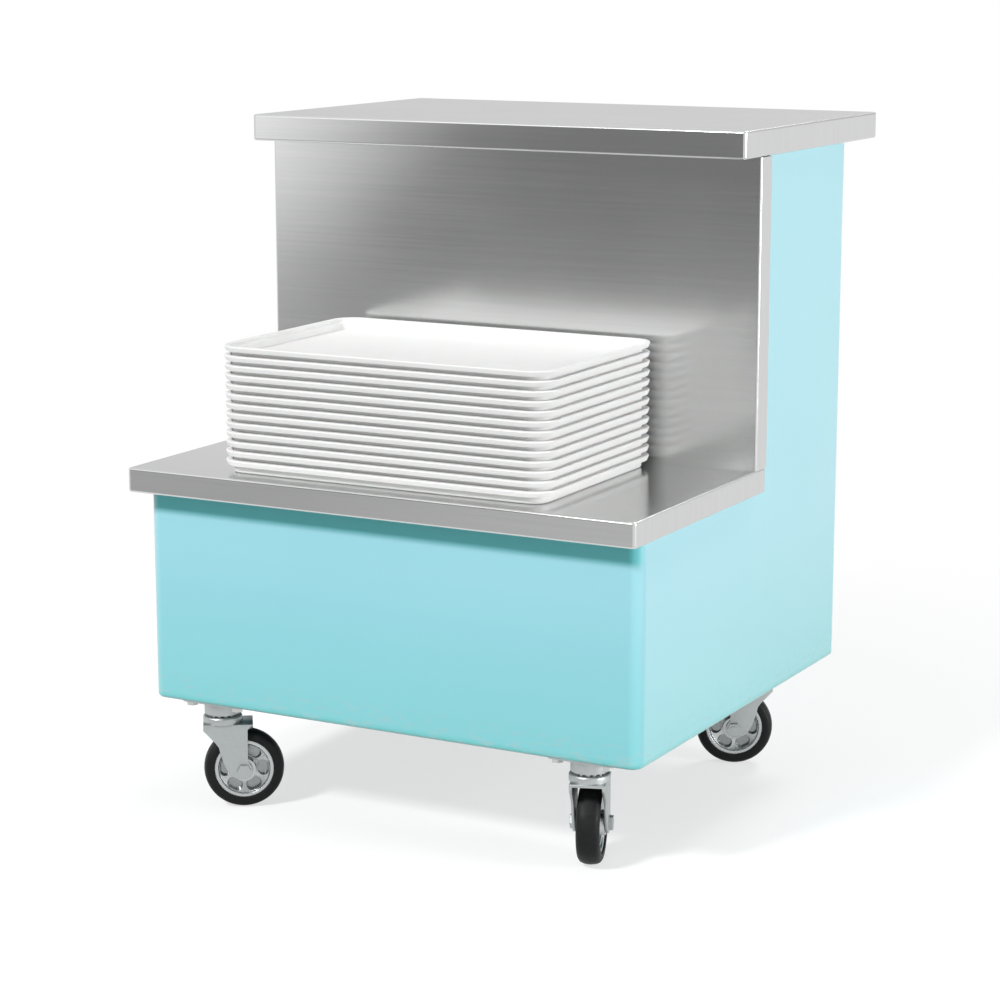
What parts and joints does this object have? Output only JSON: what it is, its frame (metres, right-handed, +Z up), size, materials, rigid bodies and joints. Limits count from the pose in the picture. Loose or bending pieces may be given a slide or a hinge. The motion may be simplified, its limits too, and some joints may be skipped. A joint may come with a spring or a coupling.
{
  "type": "tray stand",
  "caption": "Mobile tray stand: low stainless tray deck, upright splash and raised stainless shelf on an aqua moulded body with swivel casters, holding nested trays.",
  "frame": {"origin": "on the floor, under the middle of the stand's outline", "axes": "+Z up, +Y from the tray side towards the back, +X to the right as seen from the tray side"},
  "size_m": [0.7, 0.732, 0.864],
  "materials": {
    "body_gel_coat": "pale aqua gel coat, satin gloss",
    "stainless_sheet": "fine brushed stainless sheet",
    "galvanised_steel": "dull galvanised sheet",
    "zinc_fasteners": "bright zinc plate",
    "caster_steel": "zinc-plated pressed steel",
    "ball_steel": "polished bearing steel",
    "wheel_alloy": "cast alloy, satin",
    "tyre_rubber": "black rubber",
    "tray_plastic": "white moulded plastic"
  },
  "bodies": {
    "stand": {"body_shell": "body_gel_coat", "back_panel": "body_gel_coat", "back_panel_screws": "zinc_fasteners", "front_channel": "galvanised_steel", "rear_channel": "galvanised_steel", "deck": "stainless_sheet", "splash": "stainless_sheet", "top_shelf": "stainless_sheet", "deck_stiffeners": "galvanised_steel", "shelf_stiffeners": "galvanised_steel", "deck_nuts": "zinc_fasteners", "splash_nuts": "zinc_fasteners", "shelf_nuts": "zinc_fasteners", "caster_bolts": "zinc_fasteners", "caster_washers": "zinc_fasteners", "caster_nuts": "zinc_fasteners", "front_left_plate": "caster_steel", "front_left_kingpin": "zinc_fasteners", "front_right_plate": "caster_steel", "front_right_kingpin": "zinc_fasteners", "rear_left_plate": "caster_steel", "rear_left_kingpin": "zinc_fasteners", "rear_right_plate": "caster_steel", "rear_right_kingpin": "zinc_fasteners"},
    "front_left_caster": {"front_left_fork": "caster_steel", "front_left_race_balls": "ball_steel", "front_left_axle_bolt": "zinc_fasteners", "front_left_axle_nut": "zinc_fasteners", "front_left_axle_sleeve": "zinc_fasteners"},
    "front_left_wheel": {"front_left_wheel_core": "wheel_alloy", "front_left_tyre": "tyre_rubber"},
    "front_right_caster": {"front_right_fork": "caster_steel", "front_right_race_balls": "ball_steel", "front_right_axle_bolt": "zinc_fasteners", "front_right_axle_nut": "zinc_fasteners", "front_right_axle_sleeve": "zinc_fasteners"},
    "front_right_wheel": {"front_right_wheel_core": "wheel_alloy", "front_right_tyre": "tyre_rubber"},
    "rear_left_caster": {"rear_left_fork": "caster_steel", "rear_left_race_balls": "ball_steel", "rear_left_axle_bolt": "zinc_fasteners", "rear_left_axle_nut": "zinc_fasteners", "rear_left_axle_sleeve": "zinc_fasteners"},
    "rear_left_wheel": {"rear_left_wheel_core": "wheel_alloy", "rear_left_tyre": "tyre_rubber"},
    "rear_right_caster": {"rear_right_fork": "caster_steel", "rear_right_race_balls": "ball_steel", "rear_right_axle_bolt": "zinc_fasteners", "rear_right_axle_nut": "zinc_fasteners", "rear_right_axle_sleeve": "zinc_fasteners"},
    "rear_right_wheel": {"rear_right_wheel_core": "wheel_alloy", "rear_right_tyre": "tyre_rubber"},
    "tray_stack": {"tray_stack": "tray_plastic"},
    "top_tray": {"top_tray": "tray_plastic"}
  },
  "joints": [
    {"name": "front_left_swivel", "type": "hinge", "parent": "stand", "child": "front_left_caster", "pos_m": [-0.261, -0.298, 0.1225], "axis": [0, 0, 1], "continuous": true},
    {"name": "front_left_wheel_spin", "type": "hinge", "parent": "front_left_caster", "child": "front_left_wheel", "pos_m": [-0.23945, -0.28346, 0.051], "axis": [-0.5592, 0.829, 0], "continuous": true},
    {"name": "front_right_swivel", "type": "hinge", "parent": "stand", "child": "front_right_caster", "pos_m": [0.261, -0.298, 0.1225], "axis": [0, 0, 1], "continuous": true},
    {"name": "front_right_wheel_spin", "type": "hinge", "parent": "front_right_caster", "child": "front_right_wheel", "pos_m": [0.25254, -0.27342, 0.051], "axis": [-0.9455, -0.3256, 0], "continuous": true},
    {"name": "rear_left_swivel", "type": "hinge", "parent": "stand", "child": "rear_left_caster", "pos_m": [-0.261, 0.197, 0.1225], "axis": [0, 0, 1], "continuous": true},
    {"name": "rear_left_wheel_spin", "type": "hinge", "parent": "rear_left_caster", "child": "rear_left_wheel", "pos_m": [-0.28511, 0.20674, 0.051], "axis": [-0.3746, -0.9272, 0], "continuous": true},
    {"name": "rear_right_swivel", "type": "hinge", "parent": "stand", "child": "rear_right_caster", "pos_m": [0.261, 0.197, 0.1225], "axis": [0, 0, 1], "continuous": true},
    {"name": "rear_right_wheel_spin", "type": "hinge", "parent": "rear_right_caster", "child": "rear_right_wheel", "pos_m": [0.23707, 0.18684, 0.051], "axis": [0.3907, -0.9205, 0], "continuous": true},
    {"name": "tray_stack_slide", "type": "slide", "parent": "stand", "child": "tray_stack", "axis": [0, -1, 0], "range_m": [0, 0.17]},
    {"name": "top_tray_lift", "type": "slide", "parent": "tray_stack", "child": "top_tray", "axis": [0, 0, 1], "range_m": [0, 0.2]}
  ]
}
